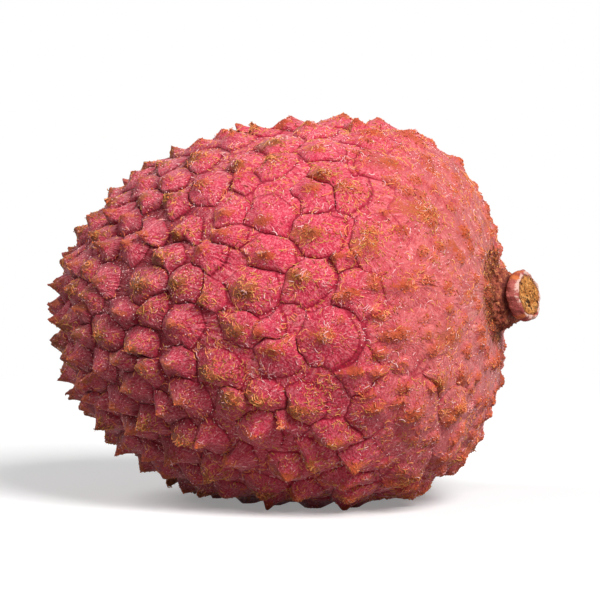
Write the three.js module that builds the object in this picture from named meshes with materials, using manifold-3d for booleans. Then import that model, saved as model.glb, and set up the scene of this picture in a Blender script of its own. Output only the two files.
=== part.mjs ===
// A whole lychee lying on its side: one scaly fruit and the cut stub of its stem.
// Units are millimetres and +Z is up. The fruit's axis runs along X, with the stem at +X.

import * as THREE from 'three';
import { ConvexHull } from 'three/addons/math/ConvexHull.js';
import { mergeVertices } from 'three/addons/utils/BufferGeometryUtils.js';
import Module from 'manifold-3d';

const wasm = await Module();
wasm.setup();

// Body of revolution, measured halfway up the scales
const BODY_HALF_LENGTH = 18.15;
const BODY_HALF_WIDTH = 15.65;
const STEM_END_FULLNESS = 2.65; // superellipse exponent: above 2 is blunter than an ellipse
const BLOSSOM_END_FULLNESS = 2.07;
const SHOULDER_WIDENING = 0.09; // share by which the stem end is wider than the blossom end

// Scales of the rind
const SCALE_COUNT = 345;
const SCALE_CROWDING = 0.3; // how much closer the scales sit towards the blossom end
const CROWDING_POWER = 6;
const SCALE_JITTER = 0.38; // wander of each scale, as a share of its width
const SCALE_HEIGHT = 1.25; // from crease to tip, on the sides
const STEM_SCALE_HEIGHT = 0.3; // the same, around the stem
const SMOOTH_SHOULDER = [0.02, 0.22]; // shares of the surface, from the stem, where scales grow tall
const UNDERSIDE_GROWTH = 0.05; // how much nearer the stem they do so on the underside
const CREASE_SHARE = 0.62; // how much of a scale's height lies below the body's mean surface
const TIP_LEAN = 0.27; // how far a tip leans towards the blossom end, as a share of scale width
const WAIST_AT = 0.52; // where a scale's flank turns steeper, from its tip to its crease
const WAIST_HEIGHT = 0.5; // height there, as a share of the scale's height
const HEIGHT_VARIATION = 0.3;

// How it lies: its underside sags level, and the scale tips there are pressed flat on the surface
const REST_TILT = THREE.MathUtils.degToRad(2.5); // the stem end is the higher one
const AXIS_HEIGHT = 15.15; // body centre above the surface
const REST_HEIGHT = 0.1; // level to which the underside sags
const REST_SOFTNESS = 0.3; // how gradually the sag begins

// Stem stub, whose collar grips the fruit; heights are measured from the body's end
const STEM_RADIUS = 1.95;
const STEM_LENGTH = 2.9;
const STEM_ROOT = -2.5; // start of the blank that the fruit's skin is then cut from
const COLLAR_RADIUS = 2.5;
const COLLAR_HEIGHT = 1.15;
const GROOVE_RADIUS = 1.55;
const GROOVE_HEIGHT = 1.55;
const BARK_SWELL = 1.04; // bark bulge over the stem's radius
const CUT_EDGE = 0.5; // depth of the worn edge around the cut face
const STEM_UNEVENNESS = 0.045; // how far its section strays from round, as a share of its radius
const STEM_RISE = 0.8; // how far above the fruit's axis it sprouts
const STEM_SIDE_LEAN = THREE.MathUtils.degToRad(17); // towards -Y
const STEM_UP_LEAN = THREE.MathUtils.degToRad(7);
const STEM_SIDES = 22;
const JOINT_GAP = 0.3; // between the collar and the rind

const RIND = new THREE.MeshStandardMaterial({ color: 0xc9505c, roughness: 0.55, metalness: 0 });
const WOOD = new THREE.MeshStandardMaterial({ color: 0x8f5a44, roughness: 0.8, metalness: 0 });

const GOLDEN_ANGLE = Math.PI * (3 - Math.sqrt(5));
const SCATTER_PRIME = 1013;
const SCATTER_START = { x: 31, y: 257, z: 601, height: 811 }; // where each use of scatter begins
const NEWTON_STEPS = 6;
const MERGE_DISTANCE = 1e-4;
const BLOSSOM_WARDS = new THREE.Vector3(-1, 0, 0);

// A repeatable number from 0 to 1 that looks random: the cube of an index, modulo a prime
function scatter(index, start) {
  const k = (index + start) % SCATTER_PRIME;
  return ((((k * k) % SCATTER_PRIME) * k) % SCATTER_PRIME) / SCATTER_PRIME;
}

// How much more crowded the scales are at a share of the surface counted from the stem
function crowding(share) {
  return 1 + SCALE_CROWDING * CROWDING_POWER * share ** (CROWDING_POWER - 1);
}

// The share of the surface, counted from the stem, that a share of the scales covers
function coveredShare(scales) {
  let share = scales;
  for (let step = 0; step < NEWTON_STEPS; step += 1) {
    const counted = share + SCALE_CROWDING * share ** CROWDING_POWER;
    share -= (counted - (1 + SCALE_CROWDING) * scales) / crowding(share);
  }
  return share;
}

// Scale centres on the unit sphere: a golden-angle spiral from stem to blossom end, jittered
function scaleCentres() {
  const centres = [];
  for (let i = 0; i < SCALE_COUNT; i += 1) {
    const share = coveredShare((i + 0.5) / SCALE_COUNT);
    const along = 1 - 2 * share;
    const around = Math.sqrt(1 - along * along);
    const turn = i * GOLDEN_ANGLE;
    const direction = new THREE.Vector3(along, around * Math.cos(turn), around * Math.sin(turn));
    const relativeArea = (1 + SCALE_CROWDING) / crowding(share);
    const width = Math.sqrt((4 * Math.PI * relativeArea) / SCALE_COUNT);
    const wander = new THREE.Vector3(
      scatter(i, SCATTER_START.x),
      scatter(i, SCATTER_START.y),
      scatter(i, SCATTER_START.z),
    );
    direction.addScaledVector(wander.subScalar(0.5), 2 * SCALE_JITTER * width).normalize();
    centres.push({ index: i, direction, share, width });
  }
  return centres;
}

// A point of the body's surface in a direction from its centre, lifted along the surface normal
function bodyPoint(direction, lift) {
  const { x, y, z } = direction;
  const fullness = x > 0 ? STEM_END_FULLNESS : BLOSSOM_END_FULLNESS;
  const alongTerm = Math.abs(x / BODY_HALF_LENGTH) ** fullness;
  const acrossTerm = (Math.hypot(y, z) / BODY_HALF_WIDTH) ** fullness;
  const radius = (alongTerm + acrossTerm) ** (-1 / fullness);
  const widening = 1 + SHOULDER_WIDENING * x;
  const surface = new THREE.Vector3(x, y * widening, z * widening).multiplyScalar(radius);
  const height = AXIS_HEIGHT + surface.x * Math.sin(REST_TILT) + surface.z * Math.cos(REST_TILT);
  const sunk = REST_HEIGHT - height;
  surface.z += (Math.hypot(sunk, REST_SOFTNESS) + sunk) / 2;
  const lengthSquared = BODY_HALF_LENGTH ** 2;
  const widthSquared = BODY_HALF_WIDTH ** 2;
  const normal = new THREE.Vector3(x / lengthSquared, y / widthSquared, z / widthSquared);
  return surface.addScaledVector(normal.normalize(), lift);
}

// Height from crease to tip of a scale: low and smooth around the stem, tall elsewhere
function scaleHeight(scale) {
  const share = scale.share - UNDERSIDE_GROWTH * scale.direction.z;
  const rise = THREE.MathUtils.smoothstep(share, ...SMOOTH_SHOULDER);
  const mean = THREE.MathUtils.lerp(STEM_SCALE_HEIGHT, SCALE_HEIGHT, rise);
  return mean * (1 + HEIGHT_VARIATION * (2 * scatter(scale.index, SCATTER_START.height) - 1));
}

// Corners of the cells around the scale centres: one for each triangle of the centres' hull
function cellCorners(centres) {
  const hull = new ConvexHull().setFromPoints(centres.map((scale) => scale.direction));
  const scaleOf = new Map(centres.map((scale) => [scale.direction, scale]));
  return hull.faces.map((face) => {
    const edges = [face.edge, face.edge.next, face.edge.prev];
    const neighbours = edges.map((edge) => scaleOf.get(edge.head().point));
    const direction = new THREE.Vector3();
    for (const scale of neighbours) {
      direction.add(scale.direction);
    }
    return { neighbours, direction: direction.normalize() };
  });
}

// The corners of one scale's cell, in order round it, anticlockwise from outside
function cornersRound(scale, corners) {
  const across = new THREE.Vector3().crossVectors(scale.direction, BLOSSOM_WARDS).normalize();
  const up = new THREE.Vector3().crossVectors(scale.direction, across);
  const angle = (corner) => Math.atan2(corner.direction.dot(up), corner.direction.dot(across));
  const own = corners.filter((corner) => corner.neighbours.includes(scale));
  return own.sort((a, b) => angle(a) - angle(b));
}

// The scaly skin as one closed mesh, with every point moved out by `offset`
function rindGeometry(offset) {
  const centres = scaleCentres();
  const corners = cellCorners(centres);
  const positions = [];
  const triangles = [];
  const addPoint = (point) => positions.push(point.x, point.y, point.z) / 3 - 1;
  for (const corner of corners) {
    const heights = corner.neighbours.map(scaleHeight);
    const depth = (CREASE_SHARE * (heights[0] + heights[1] + heights[2])) / 3;
    corner.vertex = addPoint(bodyPoint(corner.direction, offset - depth));
  }
  for (const scale of centres) {
    const height = scaleHeight(scale);
    const lean = (TIP_LEAN * scale.width * height) / SCALE_HEIGHT;
    const tip = scale.direction.clone().addScaledVector(BLOSSOM_WARDS, lean).normalize();
    const tipVertex = addPoint(bodyPoint(tip, offset + (1 - CREASE_SHARE) * height));
    const ring = cornersRound(scale, corners);
    const waist = ring.map((corner) => {
      const direction = tip.clone().lerp(corner.direction, WAIST_AT).normalize();
      return addPoint(bodyPoint(direction, offset + (WAIST_HEIGHT - CREASE_SHARE) * height));
    });
    ring.forEach((corner, j) => {
      const next = (j + 1) % ring.length;
      triangles.push(corner.vertex, ring[next].vertex, waist[j]);
      triangles.push(ring[next].vertex, waist[next], waist[j]);
      triangles.push(waist[j], waist[next], tipVertex);
    });
  }
  const geometry = new THREE.BufferGeometry();
  geometry.setAttribute('position', new THREE.Float32BufferAttribute(positions, 3));
  geometry.setIndex(triangles);
  return geometry;
}

// A closed three.js geometry as a manifold solid
function toSolid(geometry) {
  const bare = geometry.clone();
  bare.deleteAttribute('normal');
  bare.deleteAttribute('uv');
  const merged = mergeVertices(bare, MERGE_DISTANCE);
  const vertProperties = new Float32Array(merged.attributes.position.array);
  const triVerts = new Uint32Array(merged.index.array);
  return new wasm.Manifold(new wasm.Mesh({ numProp: 3, vertProperties, triVerts }));
}

// A manifold solid as a three.js geometry
function toGeometry(solid) {
  const { vertProperties, triVerts } = solid.getMesh();
  const geometry = new THREE.BufferGeometry();
  geometry.setAttribute('position', new THREE.BufferAttribute(vertProperties, 3));
  geometry.setIndex(new THREE.BufferAttribute(triVerts, 1));
  geometry.computeVertexNormals();
  return geometry;
}

// The fruit, cut off level where its lowest tips press on the surface
function fruitGeometry(placement) {
  const below = new THREE.BoxGeometry(4 * BODY_HALF_LENGTH, 4 * BODY_HALF_WIDTH, BODY_HALF_WIDTH);
  below.translate(0, 0, -BODY_HALF_WIDTH / 2);
  below.applyMatrix4(placement.clone().invert());
  return toGeometry(toSolid(rindGeometry(0)).subtract(toSolid(below)));
}

// The stem stub: a flared collar, a groove, and a bark-covered stub with a cut end
function stemGeometry() {
  const outline = [
    [0, STEM_ROOT],
    [COLLAR_RADIUS, STEM_ROOT],
    [COLLAR_RADIUS, 0],
    [(COLLAR_RADIUS + STEM_RADIUS) / 2, COLLAR_HEIGHT / 2],
    [STEM_RADIUS, COLLAR_HEIGHT],
    [GROOVE_RADIUS, GROOVE_HEIGHT],
    [STEM_RADIUS, 2 * GROOVE_HEIGHT - COLLAR_HEIGHT],
    [STEM_RADIUS * BARK_SWELL, STEM_LENGTH - CUT_EDGE],
    [STEM_RADIUS - CUT_EDGE / 2, STEM_LENGTH - CUT_EDGE / 4],
    [STEM_RADIUS - CUT_EDGE, STEM_LENGTH],
    [0, STEM_LENGTH],
  ].map(([radius, height]) => new THREE.Vector2(radius, height));
  const stem = new THREE.LatheGeometry(outline, STEM_SIDES);
  const point = new THREE.Vector3();
  const positions = stem.attributes.position;
  for (let i = 0; i < positions.count; i += 1) {
    point.fromBufferAttribute(positions, i);
    const turn = Math.atan2(point.x, point.z);
    const uneven = 1 + STEM_UNEVENNESS * (Math.sin(2 * turn) + Math.sin(5 * turn) / 2);
    positions.setXYZ(i, point.x * uneven, point.y, point.z * uneven);
  }
  const direction = new THREE.Vector3(1, -Math.tan(STEM_SIDE_LEAN), Math.tan(STEM_UP_LEAN)).normalize();
  const turnToAxis = new THREE.Quaternion().setFromUnitVectors(new THREE.Vector3(0, 1, 0), direction);
  stem.applyQuaternion(turnToAxis);
  stem.translate(BODY_HALF_LENGTH, 0, STEM_RISE);
  return toGeometry(toSolid(stem).subtract(toSolid(rindGeometry(JOINT_GAP))));
}

function namedMesh(name, geometry, material) {
  const mesh = new THREE.Mesh(geometry, material);
  mesh.name = name;
  return mesh;
}

const lying = new THREE.Group();
lying.rotation.y = -REST_TILT;
lying.position.z = AXIS_HEIGHT;
lying.updateMatrix();
lying.add(namedMesh('fruit', fruitGeometry(lying.matrix), RIND));
lying.add(namedMesh('stem_stub', stemGeometry(), WOOD));

// The origin lies on the surface, under the middle of the whole part
const middle = new THREE.Box3().setFromObject(lying, true).getCenter(new THREE.Vector3());
const lychee = new THREE.Group();
lychee.position.set(-middle.x, -middle.y, 0);
lychee.add(lying);

export default lychee;
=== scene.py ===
import math

import bpy
from mathutils import Matrix, Vector, noise


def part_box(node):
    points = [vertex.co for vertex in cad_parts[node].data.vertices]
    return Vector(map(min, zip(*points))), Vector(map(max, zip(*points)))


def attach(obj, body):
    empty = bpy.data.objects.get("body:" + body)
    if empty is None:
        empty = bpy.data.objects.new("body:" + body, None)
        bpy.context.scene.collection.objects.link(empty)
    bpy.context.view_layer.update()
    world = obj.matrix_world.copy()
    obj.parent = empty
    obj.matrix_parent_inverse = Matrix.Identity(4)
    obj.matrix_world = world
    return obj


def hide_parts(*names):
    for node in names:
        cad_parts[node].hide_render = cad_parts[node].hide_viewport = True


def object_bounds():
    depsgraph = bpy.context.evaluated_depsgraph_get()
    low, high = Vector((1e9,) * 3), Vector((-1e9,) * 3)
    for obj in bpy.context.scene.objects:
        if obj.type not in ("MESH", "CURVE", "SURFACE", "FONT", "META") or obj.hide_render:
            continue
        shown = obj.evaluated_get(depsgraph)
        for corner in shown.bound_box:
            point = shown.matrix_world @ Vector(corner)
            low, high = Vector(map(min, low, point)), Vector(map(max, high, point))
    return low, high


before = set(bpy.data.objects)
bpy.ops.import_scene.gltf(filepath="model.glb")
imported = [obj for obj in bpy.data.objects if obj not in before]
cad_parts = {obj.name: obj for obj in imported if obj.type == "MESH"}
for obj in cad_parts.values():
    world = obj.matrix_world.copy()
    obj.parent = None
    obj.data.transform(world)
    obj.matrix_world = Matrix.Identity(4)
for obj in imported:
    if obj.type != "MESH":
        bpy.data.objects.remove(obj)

CAD_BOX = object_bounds()

# Driving dimensions, in metres. Those of the body, its scales and its stem are the part's own.
MM = 0.001
BODY_HALF_LENGTH = 18.15 * MM
BODY_HALF_WIDTH = 15.65 * MM
STEM_END_FULLNESS = 2.65        # power of the outline: 2 gives an ellipse, more a fuller curve
BLOSSOM_END_FULLNESS = 2.07
SHOULDER_WIDENING = 0.09        # how much wider it gets towards the stem, as a share
SCALE_COUNT = 345
SCALE_CROWDING = 0.3            # this share more of them crowd in towards the blossom end
CROWDING_POWER = 6
SCALE_JITTER = 0.38             # how far a scale strays from the spiral, in its own widths
SCALE_HEIGHT = 1.25 * MM
STEM_SCALE_HEIGHT = 0.3 * MM
SMOOTH_SHOULDER = (0.02, 0.22)  # shares of the surface, from the stem, where scales rise to full height
UNDERSIDE_GROWTH = 0.05         # how much sooner they do so on the underside
CREASE_SHARE = 0.62             # how far a crease is sunk, as a share of the scale's height
CLOSED_SHARE = 0.46             # how far skin whose creases are closed is sunk
MARGIN_SHARE = 0.18             # how far a scale's margin stands over its creases
HOOK_SHARE = 0.15               # how far a sharp tip hooks over to the blossom end
TIP_LEAN = 0.27                 # how far a tip leans to the blossom end, in the scale's widths
HEIGHT_VARIATION = 0.3          # between one scale and the next, either way, as a share
REST_TILT = math.radians(2.5)   # how far the stem end is tipped up as the fruit lies
AXIS_HEIGHT = 15.15 * MM        # of the body's centre over what the fruit lies on
REST_HEIGHT = 0.1 * MM          # of the body's flattened underside, between its scales' tips
REST_SOFTNESS = 0.3 * MM        # how gently that flat blends into the round
STEM_RISE = 0.8 * MM
STEM_SIDE_LEAN = math.radians(17)
STEM_UP_LEAN = math.radians(7)

GOLDEN_ANGLE = math.pi * (3 - math.sqrt(5))
SCATTER_PRIME = 1013
SCATTER_START = {"x": 31, "y": 257, "z": 601, "height": 811, "tint": 127}
NEWTON_STEPS = 6                # to find where along the fruit a scale belongs
CORNER_REACH = 1.30             # how far out a scale's corners are raised, as a share of its mean radius
PEAK_STRETCH = (0.70, 1.15, 1.15)   # takes distances from a tip so that its peak is a ridge along X
SHARP_SIDE = (-0.7, -0.15, -0.7)    # the scales are sharpest this way, low at the blossom end
CALM_SIDE = (0.30, -0.70, 0.55)     # and softest this way, on the broad upper front
NUB_SPACING = 0.092             # between the nubs of the smooth skin, where the body's radius is 1
NUB_HEIGHT = 0.50 * MM
STEM_BEARING = (1.0, -0.050, 0.060)   # from the body's centre towards where the stem leaves it
RIND_DETAIL = 3                 # times each scale's sectors are subdivided
DRAWN_IN = 0.45                 # how strongly the rows of points gather at tip and crease
BROAD_WANDER = 0.12             # how far creases wander, where the body's radius is 1
FINE_WANDER = 0.035


# --- Node trees written as arithmetic ------------------------------------------------------------

def is_vector(value):
    if isinstance(value, Wire):
        return value.socket.type in {"VECTOR", "RGBA"}
    return isinstance(value, (tuple, list, Vector))


def shown_socket(sockets, key):
    """The enabled socket of that name, or of that place among the enabled ones."""
    enabled = [s for s in sockets if s.enabled]
    if isinstance(key, int):
        return enabled[key]
    return next(s for s in enabled if s.name == key)


class Wire:
    """An output of a node. Arithmetic on wires adds Math nodes to their tree."""

    def __init__(self, board, node, socket):
        self.board, self.node, self.socket = board, node, socket

    def out(self, name):
        return Wire(self.board, self.node, shown_socket(self.node.outputs, name))

    def __add__(self, other):
        return self.board.math("ADD", self, other)

    def __radd__(self, other):
        return self.board.math("ADD", other, self)

    def __sub__(self, other):
        return self.board.math("SUBTRACT", self, other)

    def __rsub__(self, other):
        return self.board.math("SUBTRACT", other, self)

    def __mul__(self, other):
        return self.board.math("MULTIPLY", self, other)

    def __rmul__(self, other):
        return self.board.math("MULTIPLY", other, self)

    def __truediv__(self, other):
        return self.board.math("DIVIDE", self, other)

    def __rtruediv__(self, other):
        return self.board.math("DIVIDE", other, self)

    def __pow__(self, other):
        return self.board.math("POWER", self, other)

    def __mod__(self, other):
        return self.board.math("MODULO", self, other)


class Board:
    """A node tree being filled in."""

    def __init__(self, tree):
        self.tree = tree

    def node(self, kind, inputs=None, out=0, **settings):
        made = self.tree.nodes.new(kind)
        for name, value in settings.items():
            setattr(made, name, value)
        for name, value in (inputs or {}).items():
            self.feed(shown_socket(made.inputs, name), value)
        return Wire(self, made, shown_socket(made.outputs, out))

    def feed(self, socket, value):
        if isinstance(value, Wire):
            self.tree.links.new(value.socket, socket)
        elif socket.type == "VECTOR" and isinstance(value, (int, float)):
            socket.default_value = (value, value, value)
        elif socket.type == "RGBA" and len(value) == 3:
            socket.default_value = (*value, 1.0)
        else:
            socket.default_value = value

    def math(self, operation, *values):
        if any(is_vector(v) for v in values):
            return self.vector_math(operation, *values)
        return self.node("ShaderNodeMath", dict(enumerate(values)), operation=operation)

    def vector_math(self, operation, *values, out=0):
        if operation == "MULTIPLY" and not all(is_vector(v) for v in values):
            vector, number = sorted(values, key=is_vector, reverse=True)
            return self.node("ShaderNodeVectorMath", {0: vector, "Scale": number}, operation="SCALE")
        return self.node("ShaderNodeVectorMath", dict(enumerate(values)), out=out, operation=operation)

    def length(self, vector):
        return self.vector_math("LENGTH", vector, out="Value")

    def dot(self, a, b):
        return self.vector_math("DOT_PRODUCT", a, b, out="Value")

    def cross(self, a, b):
        return self.vector_math("CROSS_PRODUCT", a, b)

    def unit(self, vector):
        return self.vector_math("NORMALIZE", vector)

    def size_of(self, value):
        return self.math("ABSOLUTE", value)

    def vector(self, x, y, z):
        return self.node("ShaderNodeCombineXYZ", {"X": x, "Y": y, "Z": z})

    def parts(self, vector):
        split = self.node("ShaderNodeSeparateXYZ", {0: vector})
        return split.out("X"), split.out("Y"), split.out("Z")

    def ramp(self, value, low, high, to_low=0.0, to_high=1.0):
        """Takes low..high smoothly to to_low..to_high, and holds it beyond them."""
        sockets = {"Value": value, "From Min": low, "From Max": high, "To Min": to_low, "To Max": to_high}
        return self.node("ShaderNodeMapRange", sockets, interpolation_type="SMOOTHSTEP")

    def mix(self, factor, a, b):
        kind = "VECTOR" if is_vector(a) or is_vector(b) else "FLOAT"
        return self.node("ShaderNodeMix", {"Factor": factor, "A": a, "B": b}, data_type=kind)

    def blend(self, factor, a, b):
        return self.node("ShaderNodeMix", {"Factor": factor, "A": a, "B": b}, data_type="RGBA")

    def noise(self, place, scale, detail=1.0, roughness=0.5, out="Fac"):
        sockets = {"Vector": place, "Scale": scale, "Detail": detail, "Roughness": roughness}
        return self.node("ShaderNodeTexNoise", sockets, out=out)

    # shading only

    def group(self, tree, inputs):
        return self.node("ShaderNodeGroup", inputs, node_tree=tree)

    def painted(self, name, out="Fac"):
        return self.node("ShaderNodeAttribute", out=out, attribute_name=name)

    # geometry only

    def attribute(self, name, kind="FLOAT"):
        return self.node("GeometryNodeInputNamedAttribute", {"Name": name}, data_type=kind)

    def store(self, geometry, name, value, kind="FLOAT", domain="POINT"):
        sockets = {"Geometry": geometry, "Name": name, "Value": value}
        return self.node("GeometryNodeStoreNamedAttribute", sockets, data_type=kind, domain=domain)

    def position(self):
        return self.node("GeometryNodeInputPosition")

    def move(self, geometry, position, **selection):
        sockets = {"Geometry": geometry, "Position": position, **selection}
        return self.node("GeometryNodeSetPosition", sockets)

    def is_less(self, a, b):
        return self.node("FunctionNodeCompare", {"A": a, "B": b}, data_type="FLOAT", operation="LESS_THAN")


INPUT_KINDS = {
    int: "NodeSocketInt",
    float: "NodeSocketFloat",
    tuple: "NodeSocketVector",
    bpy.types.Material: "NodeSocketMaterial",
}
OUTPUT_KINDS = {
    "VALUE": "NodeSocketFloat",
    "VECTOR": "NodeSocketVector",
    "GEOMETRY": "NodeSocketGeometry",
}


def add_inputs(tree, values):
    """Gives a tree named inputs with those default values; returns its board and a wire for each."""
    for label, value in values.items():
        kind = INPUT_KINDS[next(k for k in INPUT_KINDS if isinstance(value, k))]
        socket = tree.interface.new_socket(label, in_out="INPUT", socket_type=kind)
        socket.default_value = value
    board = Board(tree)
    group_input = board.node("NodeGroupInput")
    return board, {item.name: group_input.out(item.name) for item in tree.interface.items_tree}


def add_output(board, label, wire):
    output = board.tree.nodes.new("NodeGroupOutput")
    board.tree.interface.new_socket(label, in_out="OUTPUT", socket_type=OUTPUT_KINDS[wire.socket.type])
    board.tree.links.new(wire.socket, output.inputs[label])
    return board.tree


def geometry_tree(name, inputs):
    tree = bpy.data.node_groups.new(name, "GeometryNodeTree")
    tree.interface.new_socket("Surface", in_out="INPUT", socket_type="NodeSocketGeometry")
    return add_inputs(tree, inputs)


def shader_group(name, inputs):
    return add_inputs(bpy.data.node_groups.new(name, "ShaderNodeTree"), inputs)


def finish_tree(board, geometry, material):
    """Ends a geometry tree: its instances made real, and its material set."""
    real = board.node("GeometryNodeRealizeInstances", {"Geometry": geometry})
    painted = board.node("GeometryNodeSetMaterial", {"Geometry": real, "Material": material})
    return add_output(board, "Geometry", painted)


def grow(name, tree, values, surface=None):
    """A plain mesh object made by running a Geometry Nodes tree with those values on its inputs."""
    mesh = surface.data.copy() if surface else bpy.data.meshes.new(name)
    seed = add_object(name + "_seed", mesh)
    modifier = seed.modifiers.new("grow", "NODES")
    modifier.node_group = tree
    for item in tree.interface.items_tree:
        if item.name in values:
            modifier[item.identifier] = values[item.name]
    evaluated = seed.evaluated_get(bpy.context.evaluated_depsgraph_get())
    mesh = bpy.data.meshes.new_from_object(evaluated)
    bpy.data.objects.remove(seed)
    return add_object(name, mesh)


def add_object(name, data):
    data.name = name
    made = bpy.data.objects.new(name, data)
    bpy.context.collection.objects.link(made)
    return made


# --- Effects shared by the materials -------------------------------------------------------------

def make_streaks():
    """Fine lines that run outwards from a centre, from 0 to 1."""
    board, given = shader_group("streaks", {"Local": (0.0, 0.0, 0.0), "Lines": 5.0, "Break": 0.5})
    x, y, other = board.parts(given["Local"])
    reach = board.length(board.vector(x, y, 0.0)) + 1e-4
    around = board.vector(x / reach, y / reach, 0.0) * given["Lines"]
    place = around + board.vector(0.0, 0.0, other * 40.0 + reach * given["Break"])
    return add_output(board, "Value", board.noise(place, 1.0, 2.0, 0.6))


def make_mottle():
    """Uneven blotches between 0 and 1, with a contrast of their own."""
    board, given = shader_group("mottle", {"Place": (0.0, 0.0, 0.0), "Size": 1.0, "Contrast": 3.0})
    value = board.noise(given["Place"], 1.0 / given["Size"], 3.0, 0.6)
    spread = 0.5 / given["Contrast"]
    return add_output(board, "Value", board.ramp(value, 0.5 - spread, 0.5 + spread))


STREAKS = make_streaks()
MOTTLE = make_mottle()


def new_material(name, **constants):
    material = bpy.data.materials.new(name)
    material.use_nodes = True
    board = Board(material.node_tree)
    shader = material.node_tree.nodes["Principled BSDF"]
    for label, value in constants.items():
        board.feed(shader.inputs[label.replace("_", " ")], value)
    return material, board, shader


def object_millimetres(board):
    return board.node("ShaderNodeTexCoord", out="Object") * (1 / MM)


def add_bump(board, shader, height, distance):
    bump = board.node("ShaderNodeBump", {"Height": height, "Distance": distance, "Strength": 1.0})
    board.feed(shader.inputs["Normal"], bump)


# --- Rind skin -----------------------------------------------------------------------------------

DEEP_ROSE = (0.57, 0.013, 0.052)
BRIGHT_ROSE = (0.73, 0.034, 0.088)
PINK = (0.84, 0.12, 0.16)
DARK_SPECK = (0.38, 0.004, 0.032)
PALE_SPECK = (0.88, 0.32, 0.35)
DULL_SALMON = (0.50, 0.095, 0.082)
PALE_SALMON = (0.74, 0.22, 0.18)
DUSKY_RED = (0.36, 0.046, 0.052)
PLUM = (0.46, 0.04, 0.085)
DARK_LINE = (0.34, 0.004, 0.030)
PALE_LINE = (0.88, 0.34, 0.36)
DARK_FLANK_LINE = (0.38, 0.005, 0.030)
PALE_FLANK_LINE = (0.86, 0.26, 0.28)
# painted shade, low on the scales' sides and in the valleys between them
LOW_SIDE_SHADE = (0.18, 0.004, 0.012)
# painted shade on the faces of scales turned to the blossom end
TURNED_AWAY_SHADE = (0.22, 0.008, 0.024)
DULL_ORANGE = (0.56, 0.085, 0.024)
BRIGHT_ORANGE = (0.70, 0.145, 0.055)
OLIVE = (0.20, 0.066, 0.012)
RUST = (0.50, 0.105, 0.034)
NUB_ORANGE = (0.54, 0.100, 0.042)
PALE_HAIR = (0.90, 0.42, 0.34)
DARK_HAIR = (0.30, 0.060, 0.040)
DARK_ROOT = (0.13, 0.016, 0.009)
LIGHT_ROOT = (0.50, 0.105, 0.045)
# painted shade beside and along the creases between scales
CREASE_SIDE_SHADE = (0.48, 0.008, 0.048)
SHALLOW_CREASE_SHADE = (0.30, 0.003, 0.022)
DEEP_CREASE_SHADE = (0.16, 0.003, 0.010)


class Skin:
    """What the layers of the rind's paint read from its mesh, and the patterns they share."""

    def __init__(self, board):
        self.place = object_millimetres(board)
        self.rim = board.painted("rim")
        self.edge = board.painted("edge")
        self.tint = board.painted("tint")
        self.bearing = board.painted("bearing", "Vector")
        self.stemward, _, self.upward = board.parts(self.bearing)
        local = board.painted("scale_place", "Vector")
        self.beside, across, _ = board.parts(local)

        self.grain = board.group(MOTTLE, {"Place": self.place, "Size": 0.55, "Contrast": 1.6})
        self.speck = board.group(MOTTLE, {"Place": self.place, "Size": 0.18, "Contrast": 3.0})
        self.hair_line = board.group(STREAKS, {"Local": local, "Lines": 16.0, "Break": 3.0})
        self.flank_line = board.group(STREAKS, {"Local": local, "Lines": 11.0, "Break": 0.7})
        self.ragged = board.noise(self.place, 2.2, 4.0, 0.75) - 0.5

        self.deep = board.ramp(self.stemward, 0.15, -0.5)
        self.near_stem = board.ramp(self.stemward, 0.42, 0.92)
        self.on_flank = board.ramp(self.rim, 0.45, 0.85)
        self.from_ridge = board.length(board.vector(self.beside * 0.6, across * 1.2, 0.0))
        from_tip = self.from_ridge + self.ragged * 2.2 + self.deep * 0.12
        self.at_tip = board.ramp(from_tip, 0.62, 0.30)


def lay_ground(board, skin):
    """Mottled and specked rose, salmon near the stem and duskier low down and at the blossom end."""
    blotch = board.group(MOTTLE, {"Place": skin.place, "Size": 2.6, "Contrast": 2.2})
    colour = board.blend(blotch, DEEP_ROSE, BRIGHT_ROSE)
    colour = board.blend(skin.grain * 0.35, colour, PINK)
    dark_specks = board.ramp(skin.speck, 0.5, 0.0) * board.mix(skin.deep, 0.55, 0.75)
    colour = board.blend(dark_specks, colour, DARK_SPECK)
    pale_specks = board.ramp(skin.speck, 0.5, 1.0) * board.mix(skin.deep, 0.42, 0.70)
    colour = board.blend(pale_specks, colour, PALE_SPECK)
    salmon = board.blend(skin.grain, DULL_SALMON, PALE_SALMON)
    colour = board.blend(skin.near_stem * 0.8, colour, salmon)
    shade = board.ramp(skin.stemward * 0.8 + skin.upward * 0.6, -1.0, 0.2, 1.0, 0.0)
    colour = board.blend(shade * 0.45, colour, DUSKY_RED)
    unlike = (skin.tint - 0.5) * (1.0 - skin.rim * skin.rim)
    return board.blend(board.size_of(unlike) * 0.5, colour, PLUM)


def line_and_shade_scales(board, skin, colour):
    """Fine lines from tip to rim and down the flanks, and painted shade low on the scales' sides."""
    strength = board.mix(skin.deep, 0.5, 0.9)
    colour = board.blend(board.ramp(skin.hair_line, 0.46, 0.26) * strength, colour, DARK_LINE)
    colour = board.blend(board.ramp(skin.hair_line, 0.54, 0.75) * strength, colour, PALE_LINE)
    # painted shade low on each scale's sides and in the valleys, heavier towards the blossom end
    low_shade = board.math("MAXIMUM", board.ramp(skin.rim, 0.50, 0.95), board.ramp(skin.edge, 0.90, 1.05))
    colour = board.blend(low_shade * skin.deep * 0.9, colour, LOW_SIDE_SHADE)
    pale_lines = board.ramp(skin.flank_line, 0.5, 0.75) * skin.on_flank
    colour = board.blend(pale_lines * 0.55, colour, PALE_FLANK_LINE)
    dark_lines = board.ramp(skin.flank_line, 0.5, 0.25) * skin.on_flank
    return board.blend(dark_lines * 0.6, colour, DARK_FLANK_LINE)


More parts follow.
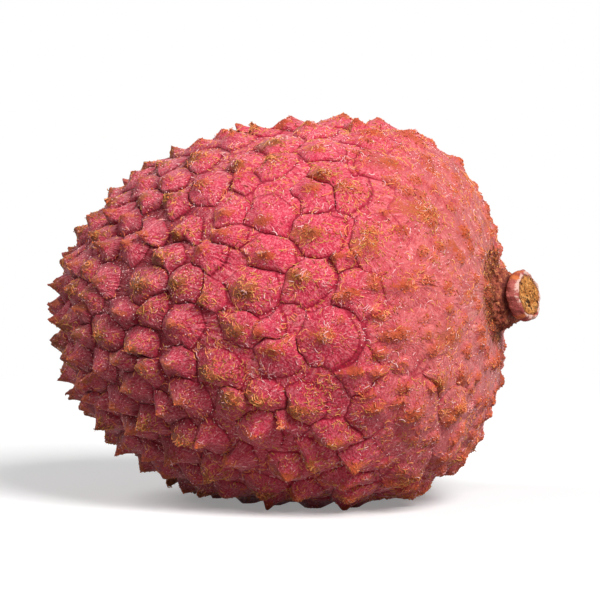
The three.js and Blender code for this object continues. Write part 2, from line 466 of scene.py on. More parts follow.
def shade_and_scuff_tips(board, skin, colour):
    """Painted shade on faces turned to the blossom end, and scuffed orange and olive at tips and nubs."""
    # painted shade on the side of each scale turned to the blossom end, away from the light
    shaded_side = board.ramp(skin.beside, 0.25, -0.7) * board.ramp(skin.rim, 0.9, 0.4)
    colour = board.blend(shaded_side * board.mix(skin.deep, 0.25, 0.70), colour, TURNED_AWAY_SHADE)
    orange = board.blend(skin.deep, DULL_ORANGE, BRIGHT_ORANGE)
    colour = board.blend(skin.at_tip * 0.85, colour, orange)
    worn = board.ramp(skin.from_ridge + skin.ragged * 3.8 + skin.beside * 0.3, 0.95, 0.40)
    olive = board.blend(board.ramp(skin.stemward, 0.1, 0.5), OLIVE, RUST)
    colour = board.blend(board.ramp(skin.tint, 0.35, 0.8) * worn * 0.7, colour, olive)
    on_nub = board.ramp(board.painted("nub") + skin.ragged * 0.8, 0.22, 0.55)
    return board.blend(on_nub * 0.68, colour, NUB_ORANGE)


def brown_round_stem(board, skin, colour):
    """Brown and frayed round the stem, and hairy for some way out."""
    off_stem = skin.bearing - STEM_BEARING
    from_stem = board.length(off_stem) * (BODY_HALF_LENGTH / MM)
    round_stem = board.vector(*board.parts(off_stem)[1:], 0.0)
    frayed = board.group(STREAKS, {"Local": round_stem, "Lines": 14.0, "Break": 3.0})
    hairs = board.group(STREAKS, {"Local": round_stem, "Lines": 34.0, "Break": 8.0}) - 0.5
    hairy = board.ramp(from_stem, 9.0, 4.0)
    colour = board.blend(board.ramp(hairs, 0.0, 0.2) * hairy * 0.5, colour, PALE_HAIR)
    colour = board.blend(board.ramp(hairs, 0.0, -0.2) * hairy * 0.6, colour, DARK_HAIR)
    root = board.ramp(from_stem - frayed * 3.6 - skin.ragged * 1.5, 2.7, 1.0)
    return board.blend(root * 0.85, colour, board.blend(skin.grain, DARK_ROOT, LIGHT_ROOT))


def shade_creases(board, skin, colour):
    """Painted shade: redder beside the creases between scales, and dark along them."""
    # painted shade in and beside the creases, darker towards the blossom end
    creased = board.ramp(board.painted("depth"), 0.2, 0.9)
    beyond = board.ramp(skin.edge, 1.07, 1.01)
    beside_crease = board.ramp(skin.edge, 0.80, 0.98) * beyond * creased
    colour = board.blend(beside_crease * 0.45, colour, CREASE_SIDE_SHADE)
    in_crease = board.ramp(skin.edge, 0.94, 0.98) * beyond * creased
    line = board.blend(skin.deep, SHALLOW_CREASE_SHADE, DEEP_CREASE_SHADE)
    return board.blend(in_crease * board.mix(skin.deep, 0.8, 0.9), colour, line)


def paint_rind():
    material, board, shader = new_material("rind_skin", Specular_IOR_Level=0.09, Sheen_Weight=0.16)
    skin = Skin(board)
    colour = lay_ground(board, skin)
    colour = line_and_shade_scales(board, skin, colour)
    colour = shade_and_scuff_tips(board, skin, colour)
    colour = brown_round_stem(board, skin, colour)
    colour = shade_creases(board, skin, colour)
    board.feed(shader.inputs["Base Color"], colour)
    roughness = 0.30 + skin.grain * 0.14 + skin.at_tip * 0.2 + skin.near_stem * 0.4
    board.feed(shader.inputs["Roughness"], roughness)
    fine = board.noise(skin.place, 7.0, 3.0, 0.7)
    lines = (skin.flank_line * skin.on_flank * 0.7 + skin.hair_line * 0.6) * (1.0 + skin.deep)
    height = fine * 0.5 + skin.grain * 0.25 + skin.speck * 0.3 + lines
    add_bump(board, shader, height, 0.10 * MM)
    return material


# --- The rind ------------------------------------------------------------------------------------

def scatter(index, start):
    """A repeatable number from 0 to 1 for an index: the cube of it, modulo a prime."""
    k = (index + float(start)) % SCATTER_PRIME
    return (((k * k) % SCATTER_PRIME) * k) % SCATTER_PRIME / SCATTER_PRIME


def seed_scales(board, size):
    """Points at the scale centres on a unit sphere, holding what each scale measures."""
    index = board.node("GeometryNodeInputIndex")
    order = (index + 0.5) / size["Scale Count"]
    crowding = size["Crowding"]
    share = order
    for _ in range(NEWTON_STEPS):
        counted = share + crowding * share ** float(CROWDING_POWER)
        slope = 1.0 + CROWDING_POWER * crowding * share ** (CROWDING_POWER - 1.0)
        share = share - (counted - (1.0 + crowding) * order) / slope
    along = 1.0 - 2.0 * share
    around = board.math("SQRT", 1.0 - along * along)
    turn = index * GOLDEN_ANGLE
    spiral = board.vector(along, around * board.math("COSINE", turn), around * board.math("SINE", turn))
    slope = 1.0 + CROWDING_POWER * crowding * share ** (CROWDING_POWER - 1.0)
    width = board.math("SQRT", 4 * math.pi * (1.0 + crowding) / slope / size["Scale Count"])
    chances = [scatter(index, SCATTER_START[axis]) for axis in "xyz"]
    wander = board.vector(*chances) - (0.5, 0.5, 0.5)
    place = board.unit(spiral + wander * (width * 2.0 * size["Jitter"]))
    upward = board.parts(place)[2]
    rise = board.ramp(share - UNDERSIDE_GROWTH * upward, *SMOOTH_SHOULDER)
    mean_height = board.mix(rise, size["Stem Scale Height"], size["Scale Height"])
    unevenness = scatter(index, SCATTER_START["height"]) * 2.0 - 1.0
    height = mean_height * (1.0 + HEIGHT_VARIATION * unevenness)
    lean = size["Tip Lean"] * width * height / size["Scale Height"]
    tip = board.unit(place + board.vector(-1.0, 0.0, 0.0) * lean)
    points = board.node("GeometryNodePoints", {"Count": size["Scale Count"], "Position": place})
    points = board.store(points, "tip", tip, "FLOAT_VECTOR")
    points = board.store(points, "height", height)
    points = board.store(points, "reach", width / math.sqrt(math.pi))
    return board.store(points, "tint", scatter(index, SCATTER_START["tint"]))


def fan_of_scales(board, points, size):
    """Cells round the scale centres, each a fan of fine triangles from its tip to its creases."""
    hull = board.node("GeometryNodeConvexHull", {"Geometry": points})
    cells = board.node("GeometryNodeDualMesh", {"Mesh": hull})
    cells = board.move(cells, board.unit(board.position()))
    sockets = {"Geometry": points, "Sample Position": board.position()}
    nearest = board.node("GeometryNodeSampleNearest", sockets, domain="POINT")
    kinds = {"tip": "FLOAT_VECTOR", "height": "FLOAT", "reach": "FLOAT", "tint": "FLOAT"}
    for name, kind in kinds.items():
        sockets = {"Geometry": points, "Value": board.attribute(name, kind), "Index": nearest}
        value = board.node("GeometryNodeSampleIndex", sockets, data_type=kind, domain="POINT")
        cells = board.store(cells, name, value, kind, "FACE")
    sockets = {"Mesh": cells, "Offset Scale": 0.0, "Individual": True}
    raised = board.node("GeometryNodeExtrudeMesh", sockets)
    sockets = {"Switch": raised.out("Top"), "False": 1.0, "True": 0.0}
    fans = board.store(raised, "rim", board.node("GeometryNodeSwitch", sockets, input_type="FLOAT"))
    fans = board.store(fans, "relief", board.attribute("height"))
    inner = board.is_less(board.attribute("rim"), 0.5)
    fans = board.move(fans, board.attribute("tip", "FLOAT_VECTOR"), Selection=inner)
    sockets = {"Geometry": fans, "Selection": inner, "Distance": 1e-5}
    fans = board.node("GeometryNodeMergeByDistance", sockets)
    return board.node("GeometryNodeSubdivideMesh", {"Mesh": fans, "Level": size["Detail"]})


def draw_in(board, fans):
    """Draws the rows of points together at tip and crease, and makes the creases wander."""
    rim = board.attribute("rim")
    tip = board.attribute("tip", "FLOAT_VECTOR")
    turns = rim * math.tau
    drawn = 1.0 - DRAWN_IN * board.math("SINE", turns) / (turns + 1e-6)
    even = board.position()
    place = even + (even - tip) * (drawn - 1.0)
    slow = board.noise(place, 5.5, 1.0, out="Color") - (0.5, 0.5, 0.5)
    quick = board.noise(place, 17.0, 1.0, out="Color") - (0.5, 0.5, 0.5)
    fans = board.move(fans, board.unit(place + slow * BROAD_WANDER + quick * FINE_WANDER))
    return board.store(fans, "rim", rim * drawn)


def scale_frame(board, direction):
    """Millimetres from a scale's own tip, towards the stem and across, and a number for the scale."""
    tip = board.attribute("tip", "FLOAT_VECTOR")
    away = (direction - tip) * (BODY_HALF_WIDTH / MM)
    across = board.unit(board.cross(tip, (1.0, 0.0, 0.0)))
    stemwards = board.cross(across, tip)
    return board.vector(board.dot(away, stemwards), board.dot(away, across), board.attribute("tint"))


def body_surface(board, direction, size):
    """The body's surface in a direction from its centre, and the way out of it."""
    x, y, z = board.parts(direction)
    fullness = board.mix(board.math("GREATER_THAN", x, 0.0), BLOSSOM_END_FULLNESS, STEM_END_FULLNESS)
    along = board.size_of(x / size["Half Length"]) ** fullness
    across = (board.length(board.vector(0.0, y, z)) / size["Half Width"]) ** fullness
    radius = (along + across) ** (-1.0 / fullness)
    widening = SHOULDER_WIDENING * x + 1.0
    surface = board.vector(x, y * widening, z * widening) * radius
    straight_up = (math.sin(REST_TILT), 0.0, math.cos(REST_TILT))
    sunk = REST_HEIGHT - size["Axis Height"] - board.dot(surface, straight_up)
    raised = (board.math("SQRT", sunk * sunk + REST_SOFTNESS ** 2) + sunk) * 0.5
    surface = surface + board.vector(0.0, 0.0, raised)
    long_squared = size["Half Length"] * size["Half Length"]
    wide_squared = size["Half Width"] * size["Half Width"]
    return surface, board.unit(board.vector(x / long_squared, y / wide_squared, z / wide_squared))


def scale_profile(board, direction, away, openness):
    """How far a point of a scale stands out from the body, and how far it hooks to the blossom end."""
    rim = board.attribute("rim")
    from_tip = direction - board.attribute("tip", "FLOAT_VECTOR")
    ridged = board.vector_math("MULTIPLY", from_tip, PEAK_STRETCH)
    peaked = board.math("MINIMUM", board.length(ridged) / board.attribute("reach"), 1.0)
    relief = board.attribute("relief")
    edge = board.math("MINIMUM", board.attribute("edge"), 1.0)
    near = board.math("MINIMUM", away, 1.0)
    reached = board.math("MINIMUM", away, 1.35)
    sharp = board.ramp(board.dot(direction, SHARP_SIDE), -0.15, 0.65)
    margin = (1.0 - edge ** 12.0) * MARGIN_SHARE
    calm = board.ramp(board.dot(direction, CALM_SIDE), 0.30, 0.80, 1.0, 0.5)
    dome = (1.0 - edge ** 3.0) * (1.0 - reached * reached * 0.5) * board.mix(sharp, 0.25, 0.18) * calm
    cone = (1.0 - peaked) * board.mix(sharp, 0.22, 0.58)
    spike = (1.0 - peaked) ** 3.0 * board.mix(sharp, 0.42, 0.28)
    point = (1.0 - rim) * (cone * calm + spike)
    crease = (margin - CREASE_SHARE) * openness - (1.0 - openness) * CLOSED_SHARE
    lumps = (board.noise(direction, 9.0, 2.0) - 0.5) * board.mix(sharp, 0.28, 0.4)
    lift = relief * (crease + dome + point + lumps)
    hook = relief * sharp * (1.0 - near) * HOOK_SHARE
    return lift, hook


def nubs(board, direction):
    """Where the small nubs of the smooth skin around the stem rise, from 0 to 1."""
    stemward, across, upward = board.parts(direction)
    cells = {"Vector": board.vector(across, upward, 0.0), "Scale": 1 / NUB_SPACING}
    away = board.node("ShaderNodeTexVoronoi", cells, out="Distance", voronoi_dimensions="2D")
    grown = board.ramp(board.parts(away.out("Color"))[0], 0.1, 0.7, 0.3, 1.0)
    return board.ramp(away, 0.50, 0.0) ** 1.2 * grown * board.ramp(stemward, 0.36, 0.62)


def rind_tree(values):
    board, size = geometry_tree("lychee_rind", values)
    fans = draw_in(board, fan_of_scales(board, seed_scales(board, size), size))
    direction = board.position()
    closing = board.ramp(board.noise(direction, 4.0, 1.0), 0.45, 0.70, 0.0, 0.6)
    openness = board.mix(board.ramp(board.parts(direction)[0], 0.45, 0.85), 1.0, closing)
    away = board.length(direction - board.attribute("tip", "FLOAT_VECTOR")) / board.attribute("reach")
    nub = nubs(board, direction)
    fans = board.store(fans, "nub", nub)
    uneven = 1.0 + (board.noise(direction, 7.0, 2.0) - 0.5) * 0.7
    edge = board.math("MAXIMUM", board.attribute("rim"), away * uneven / CORNER_REACH)
    fans = board.store(fans, "edge", edge)
    fans = board.store(fans, "bearing", direction, "FLOAT_VECTOR")
    fans = board.store(fans, "depth", openness)
    fans = board.store(fans, "scale_place", scale_frame(board, direction), "FLOAT_VECTOR", "CORNER")
    surface, outward = body_surface(board, direction, size)
    lift, hook = scale_profile(board, direction, away, openness)
    lifted = surface + outward * (lift + nub * size["Nub Height"]) - board.vector(hook, 0.0, 0.0)

    # laid down on its side, its lowest tips pressed flat
    spin = {"Vector": lifted, "Axis": (0.0, 1.0, 0.0), "Angle": 0.0 - size["Tilt"]}
    x, y, z = board.parts(board.node("ShaderNodeVectorRotate", spin))
    pressed = board.math("MAXIMUM", z + size["Axis Height"], 0.0)
    laid = board.move(fans, board.vector(x, y, pressed))
    sockets = {"Geometry": laid, "Shade Smooth": board.is_less(board.attribute("rim"), 0.999)}
    shaded = board.node("GeometryNodeSetShadeSmooth", sockets, domain="EDGE")
    return finish_tree(board, shaded, size["Material"])


def make_rind(skin):
    """The rind, and the move that brought it to where the part's fruit lies."""
    values = {
        "Half Length": BODY_HALF_LENGTH, "Half Width": BODY_HALF_WIDTH, "Scale Count": SCALE_COUNT,
        "Crowding": SCALE_CROWDING, "Jitter": SCALE_JITTER, "Scale Height": SCALE_HEIGHT,
        "Stem Scale Height": STEM_SCALE_HEIGHT, "Nub Height": NUB_HEIGHT, "Tip Lean": TIP_LEAN,
        "Tilt": REST_TILT, "Axis Height": AXIS_HEIGHT, "Detail": RIND_DETAIL, "Material": skin,
    }
    rind = grow("rind", rind_tree(values), values)
    low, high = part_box("fruit")
    corners = [v.co for v in rind.data.vertices]
    own_low = Vector(min(c[axis] for c in corners) for axis in range(3))
    own_high = Vector(max(c[axis] for c in corners) for axis in range(3))
    shift = (low + high - own_low - own_high) / 2
    shift.z = 0.0
    rind.data.transform(Matrix.Translation(shift))
    place_on_rind(rind)
    return rind, Matrix.Translation(shift)


# --- Scurf ---------------------------------------------------------------------------------------

# how far a fibre bows at its middle and turns at its end, in its own lengths
FIBRE_BENDS = ((0.2, 0.0), (-0.35, 0.1), (0.6, -0.1), (0.1, 0.1), (-0.15, -0.15))
SCURF_CLEARANCE = (0.3 * MM, 0.6 * MM)


def strewn_points(board, size, density):
    """Points on the surface, turned to face out of it, but none on the flats it rests on."""
    clear = board.ramp(board.parts(board.position())[2], *SCURF_CLEARANCE)
    sockets = {"Mesh": size["Surface"], "Density": density * clear, "Seed": size["Seed"]}
    points = board.node("GeometryNodeDistributePointsOnFaces", sockets, out="Points")
    return points, points.out("Rotation")


def chance(board, size, low, high, number):
    sockets = {"Min": low, "Max": high, "Seed": size["Seed"] + float(number)}
    return board.node("FunctionNodeRandomValue", sockets, data_type="FLOAT", out="Value")


def set_on_points(board, size, points, rotation, shapes):
    """The shapes set on the points, each turned, tipped and sized by chance."""
    longest = chance(board, size, 0.4, 1.6, 1) * size["Length"]
    sockets = {"Points": points, "Instance": shapes, "Pick Instance": True, "Rotation": rotation,
               "Scale": longest}
    placed = board.node("GeometryNodeInstanceOnPoints", sockets)
    turn = board.vector(0.0, chance(board, size, -0.3, 0.3, 2), chance(board, size, 0.0, math.tau, 3))
    placed = board.node("GeometryNodeRotateInstances", {"Instances": placed, "Rotation": turn})
    return board.store(placed, "tone", chance(board, size, 0.0, 1.0, 4), domain="INSTANCE")


def fibre_shapes(board, size):
    """Curled fibres one unit long, triangular in section, closed at both ends."""
    sockets = {"Resolution": 3, "Radius": size["Thickness"]}
    triangle = board.node("GeometryNodeCurvePrimitiveCircle", sockets)
    shapes = board.node("GeometryNodeJoinGeometry")
    for bend, turn in FIBRE_BENDS:
        sockets = {"Resolution": 2, "Start": (-0.5, 0.0, 0.0), "Middle": (0.0, bend, 0.0),
                   "End": (0.5, turn, 0.0)}
        line = board.node("GeometryNodeCurveQuadraticBezier", sockets)
        sockets = {"Curve": line, "Profile Curve": triangle, "Fill Caps": True}
        fibre = board.node("GeometryNodeCurveToMesh", sockets)
        single = board.node("GeometryNodeGeometryToInstance", {"Geometry": fibre})
        board.tree.links.new(single.socket, shapes.node.inputs["Geometry"])
    return shapes


def patches(board, size, low, high):
    """How thickly scurf lies: nothing between uneven patches, and nearly 3 in their clumps."""
    place = board.position() * (1 / MM) + size["Drift"]
    clump = board.ramp(board.noise(place, 1.6, 2.0), 0.50, 0.64, 0.08, 2.9)
    return board.ramp(board.noise(place, 0.45, 3.0, 0.6), low, high) * clump


def fibre_tree(values):
    """Fibres in patches over the scales, on the scuffed ones' tips, and round the stem."""
    board, size = geometry_tree("scurf_fibres", values)
    bearing = board.attribute("bearing", "FLOAT_VECTOR")
    stemward = board.parts(bearing)[0]
    rim = board.attribute("rim")
    ends = board.ramp(stemward, -0.6, 0.2, 0.12, 1.0) * board.ramp(stemward, 0.99, 0.85)
    flanks = board.ramp(rim, 0.55, 0.85, 0.5, 1.2) * board.ramp(rim, 1.0, 0.93)
    tips = board.ramp(rim, 0.45, 0.1)
    scuffed = board.ramp(board.attribute("tint"), 0.6, 0.9) * board.ramp(rim, 0.8, 0.35)
    near_stem = board.ramp(board.length(bearing - STEM_BEARING), 0.205, 0.12)
    density = (patches(board, size, 0.44, 0.60) * ends * (flanks + tips) + 0.03) * size["Strewn"]
    density = density + scuffed * size["On Scuffs"] + near_stem * size["Round Stem"]
    points, rotation = strewn_points(board, size, density)
    fibres = set_on_points(board, size, points, rotation, fibre_shapes(board, size))
    return finish_tree(board, fibres, size["Material"])


def grain_tree(values):
    """Small angular grains in patches, on nubs and tips, and at the blossom end."""
    board, size = geometry_tree("scurf_grains", values)
    on_nubs = board.ramp(board.attribute("nub"), 0.15, 0.6)
    tips = board.ramp(board.attribute("rim"), 0.35, 0.1)
    blossom_end = board.ramp(board.parts(board.attribute("bearing", "FLOAT_VECTOR"))[0], 0.1, -0.4)
    density = patches(board, size, 0.35, 0.7) * size["Strewn"]
    density = density + (on_nubs + tips * 0.4) * size["Clustered"]
    density = density + blossom_end * size["Blossom End"]
    points, rotation = strewn_points(board, size, density)
    grain = board.node("GeometryNodeMeshUVSphere", {"Segments": 4, "Rings": 2, "Radius": 1.0})
    shapes = board.node("GeometryNodeGeometryToInstance", {"Geometry": grain})
    grains = set_on_points(board, size, points, rotation, shapes)
    return finish_tree(board, grains, size["Material"])


def place_on_rind(piece):
    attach(piece, "root")
    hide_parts("fruit")


def paint_scurf(name, dark, light):
    material, board, shader = new_material(name, Roughness=0.6, Specular_IOR_Level=0.3)
    board.feed(shader.inputs["Base Color"], board.blend(board.painted("tone"), dark, light))
    return material


def make_fibres(rind, name, dark, light, seed, drift, length, thickness,
                strewn=0.0, on_scuffs=0.0, round_stem=0.0):
    """Fibres of one kind. The last three, to the square metre, multiply the patterns of fibre_tree."""
    values = {
        "Strewn": strewn, "On Scuffs": on_scuffs, "Round Stem": round_stem, "Length": length,
        "Thickness": thickness, "Drift": drift, "Seed": seed, "Material": paint_scurf(name, dark, light),
    }
    place_on_rind(grow(name, fibre_tree(values), values, rind))


def make_grains(rind, name, dark, light, seed, drift, radius,
                strewn=0.0, clustered=0.0, blossom_end=0.0):
    """Grains of one kind. The last three, to the square metre, multiply the patterns of grain_tree."""
    values = {
        "Strewn": strewn, "Clustered": clustered, "Blossom End": blossom_end, "Length": radius,
        "Drift": drift, "Seed": seed, "Material": paint_scurf(name, dark, light),
    }
    place_on_rind(grow(name, grain_tree(values), values, rind))


# --- Stem ----------------------------------------------------------------------------------------

STEM_DIRECTION = Vector((1, -math.tan(STEM_SIDE_LEAN), math.tan(STEM_UP_LEAN))).normalized()
STEM_SIDES = 120
STEM_STEP = 0.07                # millimetres between the rings of the bark

# Radius and height in millimetres, from inside the collar up its side, in at the waist above it,
# and out round the rim of the stub.
BARK_OUTLINE = (
    (0.02, -2.2), (2.5, -2.2), (2.55, -0.6), (2.45, 0.2), (2.3, 0.75), (2.05, 1.15),
    (1.75, 1.40), (1.60, 1.55), (1.74, 1.72), (2.0, 1.9), (2.08, 2.2), (2.02, 2.55),
    (1.90, 2.77), (1.76, 2.83), (1.66, 2.73), (1.60, 2.3), (0.02, 2.25),
)
CUT_RADIUS = 1.64
CUT_HEIGHT = 2.79
CUT_CROWN = 0.06
CUT_RINGS = 33
CUT_STEP = 0.05


def stem_frame():
    """From millimetres along the stem's axis, counted from the body's end, to metres as it lies."""
    laid = Matrix.Translation((0, 0, AXIS_HEIGHT)) @ Matrix.Rotation(-REST_TILT, 4, "Y")
    turn = Vector((0, 0, 1)).rotation_difference(STEM_DIRECTION).to_matrix().to_4x4()
    return laid @ Matrix.Translation((BODY_HALF_LENGTH, 0, STEM_RISE)) @ turn @ Matrix.Scale(MM, 4)


def lathe(name, outline, shape):
    """A closed turned solid along +Z, in millimetres, each point then moved by `shape`."""
    turns = [math.tau * i / STEM_SIDES for i in range(STEM_SIDES)]
    points = [(r * math.cos(a), r * math.sin(a), h) for r, h in outline for a in turns]
    last = len(points) - STEM_SIDES
    faces = []
    for i in range(STEM_SIDES):
        k = (i + 1) % STEM_SIDES
        for start in range(0, last, STEM_SIDES):
            faces.append((start + i, start + k, start + STEM_SIDES + k, start + STEM_SIDES + i))
        faces.append((len(points), k, i))
        faces.append((len(points) + 1, last + i, last + k))
    points += [(0.0, 0.0, outline[0][1]), (0.0, 0.0, outline[-1][1])]
    mesh = bpy.data.meshes.new(name)
    mesh.from_pydata([shape(Vector(p)) for p in points], [], faces)
    mesh.shade_smooth()
    marks = mesh.attributes.new("turned_place", "FLOAT_VECTOR", "POINT")
    for mark, point in zip(marks.data, points):
        mark.vector = point
    return mesh


def smooth_outline(corners):
    """Points about a step apart along a curve through the corners."""
    outline = []
    padded = [Vector(c) for c in (corners[0], *corners, corners[-1])]
    for before, a, b, after in zip(padded, padded[1:], padded[2:], padded[3:]):
        count = max(1, round((b - a).length / STEM_STEP))
        for j in range(count):
            t = j / count
            leaving = (b - before) / 2 * (t - 2 * t ** 2 + t ** 3)
            arriving = (after - a) / 2 * (t ** 3 - t ** 2)
            outline.append(tuple(a.lerp(b, t * t * (3 - 2 * t)) + leaving + arriving))
    return outline + [corners[-1]]


def place_stem_piece(mesh, placement, material):
    mesh.transform(placement @ stem_frame())
    mesh.materials.append(material)
    piece = add_object(mesh.name, mesh)
    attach(piece, "root")
    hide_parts("stem_stub")


def out_of_round(point):
    turn = math.atan2(point.y, point.x)
    reach = 1 + 0.045 * (math.sin(2 * turn) + math.sin(5 * turn) / 2)
    return Vector((point.x * reach, point.y * reach, point.z))


def bark_shape(point):
    """Ragged below, where it is the collar; ridged lengthways above."""
    around = Vector((point.x, point.y, 0))
    out = around.normalized()
    ragged = max(0.0, min(1.0, (1.5 - point.z) / 0.6))
    lump = noise.fractal(Vector((point.x * 1.9, point.y * 1.9, point.z * 0.7)), 0.45, 2.2, 5)
    ridge = noise.fractal(Vector((point.x * 2.2, point.y * 2.2, point.z * 0.5)), 0.8, 2.1, 3)
    swell = out * (ragged * lump * 0.34 + (1 - ragged) * ridge * 0.16)
    return out_of_round(point) + swell + Vector((0, 0, ragged * lump * 0.15))


def make_bark(placement, material):
    outline = smooth_outline(BARK_OUTLINE)
    place_stem_piece(lathe("stem_bark", outline, bark_shape), placement, material)


def wood_shape(point):
    """Broken fibres and pores over the cut face."""
    moved = out_of_round(point)
    if point.z > 2.4:
        rough = noise.fractal(Vector((point.x * 1.5, point.y * 4.4, 3.0)), 0.5, 2.2, 5)
        pore = max(0.0, noise.noise(Vector((point.x * 2.2, point.y * 4.6, 9.0))) - 0.2)
        moved.z += rough * 0.16 - pore * 0.55
    return moved


def make_wood(placement, material):
    outline = [(0.02, 2.1), (1.58, 2.1), (CUT_RADIUS, 2.25), (CUT_RADIUS, 2.55)]
    for i in range(CUT_RINGS):
        crown = CUT_CROWN * math.sin(math.pi * i / (2 * CUT_RINGS))
        outline.append((CUT_RADIUS - CUT_STEP * i, CUT_HEIGHT + crown))
    place_stem_piece(lathe("stem_wood", outline, wood_shape), placement, material)


def paint_bark():
    material, board, shader = new_material("stem_bark", Roughness=0.75, Specular_IOR_Level=0.3)
    place = object_millimetres(board)
    turned = board.painted("turned_place", "Vector")
    height = board.parts(turned)[2]
    grain = board.group(MOTTLE, {"Place": place, "Size": 0.35, "Contrast": 1.5})
    blotch = board.group(MOTTLE, {"Place": place, "Size": 1.0, "Contrast": 2.0})
    x, y, _ = board.parts(turned)
    fibrous = board.noise(board.vector(x, y, height * 0.25), 4.0, 3.0, 0.7)
    collar = board.blend(grain, (0.14, 0.018, 0.012), (0.48, 0.105, 0.055))
    collar = board.blend(board.ramp(fibrous, 0.52, 0.68) * 0.8, collar, (0.78, 0.30, 0.13))
    collar = board.blend(board.ramp(fibrous, 0.48, 0.34) * 0.8, collar, (0.05, 0.008, 0.006))
    sleeve = board.blend(blotch, (0.30, 0.040, 0.040), (0.68, 0.19, 0.15))
    sleeve = board.blend(grain * 0.3, sleeve, (0.20, 0.045, 0.035))
    stained = board.ramp(board.noise(board.vector(x, y, 3.0), 0.8, 2.0, 0.5), 0.50, 0.62)
    sleeve = board.blend(stained * 0.75, sleeve, (0.74, 0.20, 0.045))
    colour = board.blend(board.ramp(height + grain * 0.2, 1.65, 1.9), collar, sleeve)
    # painted shade in the groove at the waist between collar and sleeve
    groove_shade = board.ramp(board.size_of(height - 1.55), 0.10, 0.34, 1.0, 0.0)
    colour = board.blend(groove_shade * 0.85, colour, (0.10, 0.010, 0.008))
    pale = board.ramp(height + (grain - 0.5) * 0.5 + (blotch - 0.5) * 0.7, 2.62, 2.85)
    colour = board.blend(pale * 0.8, colour, (0.82, 0.54, 0.45))
    board.feed(shader.inputs["Base Color"], colour)
    fine = board.noise(place, 9.0, 3.0, 0.7)
    add_bump(board, shader, fine * 0.5 + grain * 0.5 + fibrous, 0.12 * MM)
    return material


def paint_wood():
    material, board, shader = new_material("stem_wood", Roughness=0.85, Specular_IOR_Level=0.25)
    place = object_millimetres(board)
    turned = board.painted("turned_place", "Vector")
    grain = board.group(MOTTLE, {"Place": place, "Size": 0.4, "Contrast": 1.8})
    colour = board.blend(grain, (0.50, 0.15, 0.028), (0.92, 0.42, 0.115))
    across, over, _ = board.parts(turned)
    reach = board.length(board.vector(across, over, 0.0))
    fibrous = board.noise(board.vector(across * 1.3, over * 5.0, 0.0), 1.0, 3.0, 0.7)
    colour = board.blend(board.ramp(fibrous, 0.55, 0.68) * 0.8, colour, (0.96, 0.64, 0.28))
    colour = board.blend(board.ramp(fibrous, 0.48, 0.32) * 0.9, colour, (0.20, 0.050, 0.012))
    cracked = board.ramp(board.noise(board.vector(across, over * 2.4, 7.0), 1.4, 2.0, 0.6), 0.57, 0.62)
    colour = board.blend(cracked * 0.9, colour, (0.045, 0.014, 0.008))
    worn = board.ramp(reach + fibrous * 0.3, 1.55, 1.75)
    colour = board.blend(worn * 0.7, colour, (0.30, 0.09, 0.04))
    board.feed(shader.inputs["Base Color"], colour)
    add_bump(board, shader, board.noise(place, 8.0, 3.0, 0.7) + grain - cracked, 0.15 * MM)
    return material


# --- Floor, lights and camera --------------------------------------------------------------------

CAMERA_TURN = math.radians(12)
CAMERA_RISE = math.radians(5)
CAMERA_DISTANCE = 0.35
VIEW_WIDTH = 0.0485             # what the camera takes in, at the fruit
AIM_RIGHT = 0.52 * MM
AIM_UP = 0.52 * MM
FLOOR_RADIUS = 4.0
FLOOR_SIDES = 96
FILL = 0.075                    # light from all round, as a share of white
SHADOW_FADES = (0.03, 0.10)     # where the floor's shadow fades out, from under the fruit


def seen(board):
    """1 where a ray from the camera, a reflection or a clear body meets the surface."""
    path = board.node("ShaderNodeLightPath", out="Is Camera Ray")
    either = board.math("MAXIMUM", path, path.out("Is Glossy Ray"))
    return board.math("MAXIMUM", either, path.out("Is Transmission Ray"))


def paint_floor():
    """Seen, it is white with a shadow close to the fruit; the light it throws back is that of grey."""
    material = bpy.data.materials.new("floor_white")
    material.use_nodes = True
    board = Board(material.node_tree)
    near = board.node("ShaderNodeBsdfDiffuse", {"Color": (0.80, 0.80, 0.80)})
    glow = board.node("ShaderNodeEmission", {"Color": (1.0, 1.0, 1.0), "Strength": 0.25})
    white = board.node("ShaderNodeEmission", {"Color": (1.0, 1.0, 1.0), "Strength": 1.0})
    bounce = board.node("ShaderNodeBsdfDiffuse", {"Color": (0.32, 0.31, 0.30)})
    lit = board.node("ShaderNodeAddShader", {0: near, 1: glow})
    place = board.node("ShaderNodeTexCoord", out="Object")
    far = board.ramp(board.length(place), *SHADOW_FADES)
    shown = board.node("ShaderNodeMixShader", {0: far, 1: lit, 2: white})
    surface = board.node("ShaderNodeMixShader", {0: seen(board), 1: bounce, 2: shown})
    board.feed(material.node_tree.nodes["Material Output"].inputs["Surface"], surface)
    return material


def make_floor():
    turns = [math.tau * i / FLOOR_SIDES for i in range(FLOOR_SIDES)]
    mesh = bpy.data.meshes.new("floor")
    edge = [(FLOOR_RADIUS * math.cos(a), FLOOR_RADIUS * math.sin(a), 0.0) for a in turns]
    mesh.from_pydata(edge, [], [tuple(range(FLOOR_SIDES))])
    mesh.materials.append(paint_floor())
    add_object("floor", mesh)


def make_world():
    world = bpy.data.worlds.new("studio")
    bpy.context.scene.world = world
    world.use_nodes = True
    board = Board(world.node_tree)
    background = world.node_tree.nodes["Background"]
    board.feed(background.inputs["Color"], (1.0, 1.0, 1.0))
    board.feed(background.inputs["Strength"], board.mix(seen(board), FILL, 1.0))


def as_seen(right, up, towards):
    """A direction given by what is right, up and towards the viewer of the level camera."""
    across = Vector((math.cos(CAMERA_TURN), math.sin(CAMERA_TURN), 0))
    nearer = Vector((math.sin(CAMERA_TURN), -math.cos(CAMERA_TURN), 0))
    return across * right + Vector((0, 0, up)) + nearer * towards


def place_looking(thing, direction, distance):
    low, high = CAD_BOX
    direction = direction.normalized()
    thing.location = (low + high) / 2 + as_seen(AIM_RIGHT, AIM_UP, 0) + direction * distance
    thing.rotation_mode = "QUATERNION"
    thing.rotation_quaternion = (-direction).to_track_quat("-Z", "Y")


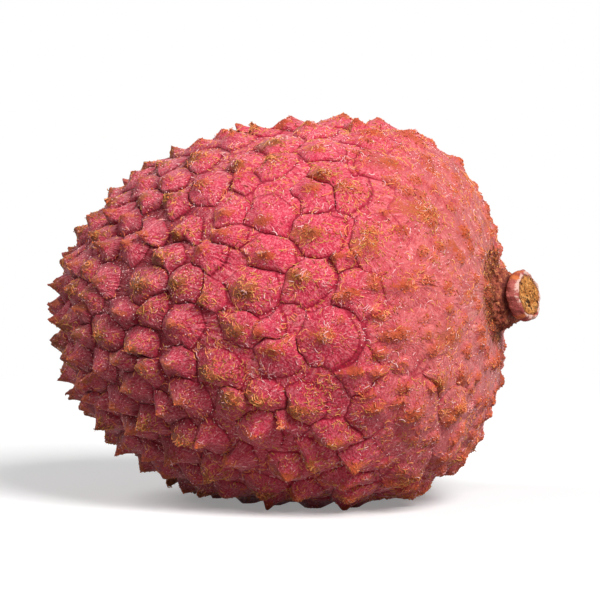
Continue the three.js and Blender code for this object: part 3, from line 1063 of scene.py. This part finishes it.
def make_lamp(name, direction, distance, size, level):
    """A square soft box; level is about what it adds to the brightness of white paper facing it."""
    lamp = bpy.data.lights.new(name, "AREA")
    lamp.size = size
    lamp.energy = level * (math.pi * distance) ** 2
    place_looking(add_object(name, lamp), direction, distance)


def make_camera():
    data = bpy.data.cameras.new("camera")
    data.lens = data.sensor_width * CAMERA_DISTANCE / VIEW_WIDTH
    camera = add_object("camera", data)
    place_looking(camera, as_seen(0, math.sin(CAMERA_RISE), math.cos(CAMERA_RISE)), CAMERA_DISTANCE)
    bpy.context.scene.camera = camera


make_camera()
make_floor()
make_world()
make_lamp("key_light", as_seen(0.44, 0.66, 0.62), distance=0.6, size=0.30, level=1.40)
make_lamp("back_light", as_seen(-0.75, 0.8, 0.0), distance=0.6, size=0.35, level=0.55)
rind, placement = make_rind(paint_rind())
make_fibres(
    rind, "fibres_orange", dark=(0.66, 0.12, 0.050), light=(0.92, 0.38, 0.15), seed=1,
    drift=(0.0, 0.0, 0.0), length=0.35 * MM, thickness=0.095, strewn=10.5e6, on_scuffs=2.5e6)
make_fibres(
    rind, "fibres_gold", dark=(0.50, 0.19, 0.035), light=(0.80, 0.38, 0.11), seed=2,
    drift=(5.0, 3.0, 0.0), length=0.31 * MM, thickness=0.098, strewn=5.0e6, on_scuffs=9.0e6,
    round_stem=10.0e6)
make_fibres(
    rind, "fibres_rust", dark=(0.20, 0.030, 0.012), light=(0.48, 0.09, 0.022), seed=6,
    drift=(9.0, 1.0, 4.0), length=0.26 * MM, thickness=0.120, strewn=2.2e6, on_scuffs=3.5e6,
    round_stem=30.0e6)
make_fibres(
    rind, "fibres_white", dark=(0.86, 0.34, 0.35), light=(0.94, 0.58, 0.57), seed=3,
    drift=(20.0, 8.0, 3.0), length=0.32 * MM, thickness=0.088, strewn=4.8e6)
make_fibres(
    rind, "hairs_brown", dark=(0.10, 0.020, 0.010), light=(0.40, 0.11, 0.050), seed=7,
    drift=(3.0, 3.0, 3.0), length=0.70 * MM, thickness=0.040, round_stem=36.0e6)
make_grains(
    rind, "grains_pale", dark=(0.88, 0.32, 0.30), light=(0.96, 0.68, 0.66), seed=4,
    drift=(2.0, 28.0, 3.0), radius=0.045 * MM, strewn=8.0e6, blossom_end=1.5e6)
make_grains(
    rind, "grains_brown", dark=(0.34, 0.040, 0.016), light=(0.80, 0.18, 0.05), seed=5,
    drift=(8.0, 2.0, 9.0), radius=0.07 * MM, strewn=1.5e6, clustered=26.0e6)
make_bark(placement, paint_bark())
make_wood(placement, paint_wood())

bpy.context.scene.view_settings.view_transform = "Standard"
